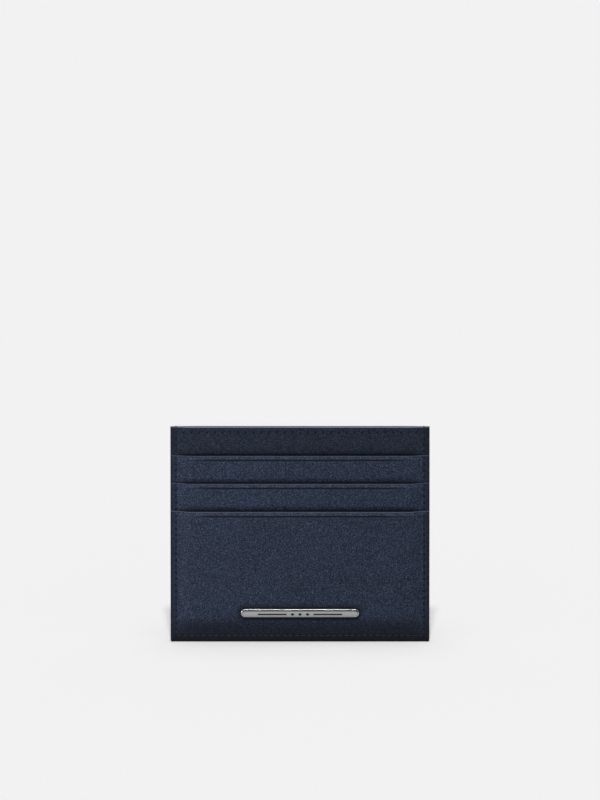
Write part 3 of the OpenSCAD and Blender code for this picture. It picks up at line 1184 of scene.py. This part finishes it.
def addMark(x, width, tall, isLine, depth, face):
    # a four-sided prism on the engraving's floor: a lozenge, or an oblong when turned
    mark = newCylinder(4, 0.5, 1)
    stretch = 1.0
    if isLine:
        mark.data.transform(Matrix.Rotation(math.pi / 4, 4, "Y"))
        stretch = math.sqrt(2)
    size = Matrix.Diagonal((width * stretch, depth, tall * stretch, 1))
    mark.data.transform(Matrix.Translation((x, face + depth / 2, markZ)) @ size)
    return mark


def makeMarks(name, depth, face):
    marks = []
    for k in range(barShape["lozengeCount"]):
        x = (k - (barShape["lozengeCount"] - 1) / 2) * barShape["lozengePitch"]
        marks.append(addMark(x, barShape["lozengeWidth"], barShape["lozengeHeight"], False, depth, face))
    for side in (-1, 1):
        x = side * (barShape["lineGap"] + barShape["lineLength"] / 2)
        marks.append(addMark(x, barShape["lineLength"], barShape["lineHeight"], True, depth, face))
    return joinPieces(name, marks)


def makeBar():
    # a round blank pulled out to a long bar, its face inset and pushed out for the bevel
    shoulder = barFace + barShape["bevelDepth"]
    place = (0, (barRoot + shoulder) / 2, barZ)
    bar = newCylinder(barShape["endVertices"], barHeight / 2, barRoot - shoulder, place)
    straight = (barLength - barHeight) / 2
    for vertex in bar.data.vertices:
        if abs(vertex.co.x) > 0.001 * mm:
            vertex.co.x += math.copysign(straight, vertex.co.x)
    bpy.ops.object.mode_set(mode="EDIT")
    bpy.ops.mesh.select_all(action="DESELECT")
    bpy.ops.object.mode_set(mode="OBJECT")
    for face in bar.data.polygons:
        face.select = face.normal.y < -0.9
    bpy.ops.object.mode_set(mode="EDIT")
    bpy.ops.mesh.select_mode(type="FACE")
    bpy.ops.mesh.inset(thickness=barShape["bevelWidth"], depth=0)
    bpy.ops.transform.translate(value=(0, -barShape["bevelDepth"], 0))
    bpy.ops.object.mode_set(mode="OBJECT")
    bevelEdges(bar, barShape["edgeRound"], 3, 45)
    return bar


def engrave(bar):
    cutter = makeMarks("cutter", 2 * barShape["engraving"], barFace - barShape["engraving"])
    applyModifier(bar, "BOOLEAN", operation="DIFFERENCE", object=cutter, solver="EXACT")
    bpy.data.objects.remove(cutter)


def finishBar(bar):
    # brushed face, polished bevel darkened as painted shade, and the rest as the lip
    bar.data.materials.clear()
    bar.data.materials.append(lipSteel)
    bar.data.materials.append(polishedFinish("bevelSteel", metalLook["bevel"], metalLook["bevelRoughness"]))
    bar.data.materials.append(brushedFinish())
    bevelNormal = -math.cos(math.atan(barShape["bevelDepth"] / barShape["bevelWidth"]))
    for face in bar.data.polygons:
        isBevel = abs(face.normal.y - bevelNormal) < 0.02
        if face.normal.y < -0.99:
            face.material_index = 2
        elif isBevel and face.center.y < barFace + barShape["bevelDepth"]:
            face.material_index = 1


def makeStud(side):
    studBack = boxes["front_pocket_stiffener"][1].y
    place = (side * (barLength / 2 - barShape["studInset"]), (studBack + barRoot) / 2, barZ)
    stud = newCylinder(24, barShape["studRadius"], studBack - barRoot, place)
    bevelEdges(stud, barShape["studRound"], 2, 50)
    stud.data.materials.append(lipSteel)
    return stud


lipSteel = polishedFinish("lipSteel", metalLook["lip"], metalLook["lipRoughness"])
bar = makeBar()
engrave(bar)
finishBar(bar)
bar = joinPieces("nameplateBar", [bar, makeStud(-1), makeStud(1)])
smoothShade(bar, 20)
for face in bar.data.polygons:
    face.use_smooth = face.normal.y > -0.99
settle(bar, "bar_metal", "nameplate_bar")

inlayDepth = barShape["engraving"] - barShape["recess"]
inlay = makeMarks("nameplateInlay", inlayDepth, barFace + barShape["recess"])
giveFinish(inlay, mottledFinish("blackEnamel", enamelLook))
settle(inlay, "black_enamel", "nameplate_inlay")

giveFinish(frame["nodes"]["nameplate_washers"], lipSteel)
print("nameplate made")

studio = {
    "floorSize": 12.0,
    "floorColour": (0.45, 0.45, 0.45),
    "floorShares": (0.998, 1.002),
    "worldStrength": 0.24,
    "overheadStrength": 1.7,
    "overheadSpread": 46,  # degrees across
    "overheadElevation": 90,
    "overheadTurn": 0,
    "frontStrength": 4.3,
    "frontSpread": 6,
    "frontElevation": 60,
    "frontTurn": 0,  # degrees round from straight ahead
    "backStrength": 1.4,
    "backSpread": 46,
    "backElevation": 15,
    "backTurn": 180,
    "sidePower": 0.11,
    "sideSize": 60 * mm,
    "sidePlace": (-150 * mm, -85 * mm, 55 * mm),
}

deselectAll()
bpy.ops.mesh.primitive_plane_add(size=studio["floorSize"])
floor = bpy.context.object
floor.name = "floor"
floorFinish = Finish("paleFloor", Specular_IOR_Level=0.0)
floorTones = [tone(*studio["floorColour"], share) for share in studio["floorShares"]]
floorTone = floorFinish.mix(floorFinish.noise(0.4), *floorTones)
giveFinish(floor, floorFinish.paint(Base_Color=floorTone, Roughness=1.0))

world = bpy.data.worlds.new("studioWorld")
bpy.context.scene.world = world
world.use_nodes = True
background = world.node_tree.nodes["Background"]
background.inputs["Color"].default_value = (1, 1, 1, 1)
background.inputs["Strength"].default_value = studio["worldStrength"]


def addLamp(light, place, behind):
    # a lamp at a place, with the vector behind pointing out of its back
    lamp = bpy.data.objects.new(light.name, light)
    bpy.context.scene.collection.objects.link(lamp)
    lamp.location = place
    lamp.rotation_euler = behind.to_track_quat("Z", "Y").to_euler()
    return lamp


def addSun(kind):
    # a wide soft source a long way off, so that the floor is lit evenly
    light = bpy.data.lights.new(kind + "Light", "SUN")
    light.energy = studio[kind + "Strength"]
    light.angle = math.radians(studio[kind + "Spread"])
    raised = math.radians(studio[kind + "Elevation"])
    turned = math.radians(studio[kind + "Turn"])
    across = math.cos(raised)
    source = Vector((math.sin(turned) * across, -math.cos(turned) * across, math.sin(raised)))
    return addLamp(light, source, source)


def addPanelLight(kind):
    # a small soft panel close by, turned to the holder's middle
    light = bpy.data.lights.new(kind + "Light", "AREA")
    light.energy = studio[kind + "Power"]
    light.size = studio[kind + "Size"]
    place = Vector(studio[kind + "Place"])
    lamp = addLamp(light, place, place - Vector((0, 0, height / 2)))
    lamp.visible_camera = False
    return lamp


addSun("overhead")
addSun("front")

# These two light the holder alone and leave the floor as it is.
holderPieces = bpy.data.collections.new("holderPieces")
for piece in bpy.data.objects:
    if piece.type == "MESH" and piece != floor:
        holderPieces.objects.link(piece)
for lamp in (addSun("back"), addPanelLight("side")):
    lamp.light_linking.receiver_collection = holderPieces

viewpoint = {
    "distance": 8.0,  # a long lens from far away keeps the holder's sides parallel
    "elevation": 14.0,
    "frameHeight": 308.9 * mm,  # what the frame takes in at the object, from bottom to top
    "aimAbove": 52.0 * mm,  # the frame's centre lies this far above the object's
}

cameraData = bpy.data.cameras.new("camera")
camera = bpy.data.objects.new("camera", cameraData)
bpy.context.scene.collection.objects.link(camera)
cameraData.lens = cameraData.sensor_width * viewpoint["distance"] / viewpoint["frameHeight"]
cameraData.clip_start = 0.1
cameraData.clip_end = 50
raised = math.radians(viewpoint["elevation"])
towards = Vector((0, -math.cos(raised), math.sin(raised)))
upward = Vector((0, math.sin(raised), math.cos(raised)))
target = Vector((0, 0, height / 2)) + upward * viewpoint["aimAbove"]
camera.location = target + towards * viewpoint["distance"]
camera.rotation_euler = towards.to_track_quat("Z", "Y").to_euler()
bpy.context.scene.camera = camera
bpy.context.scene.view_settings.view_transform = "Standard"
print("studio made")
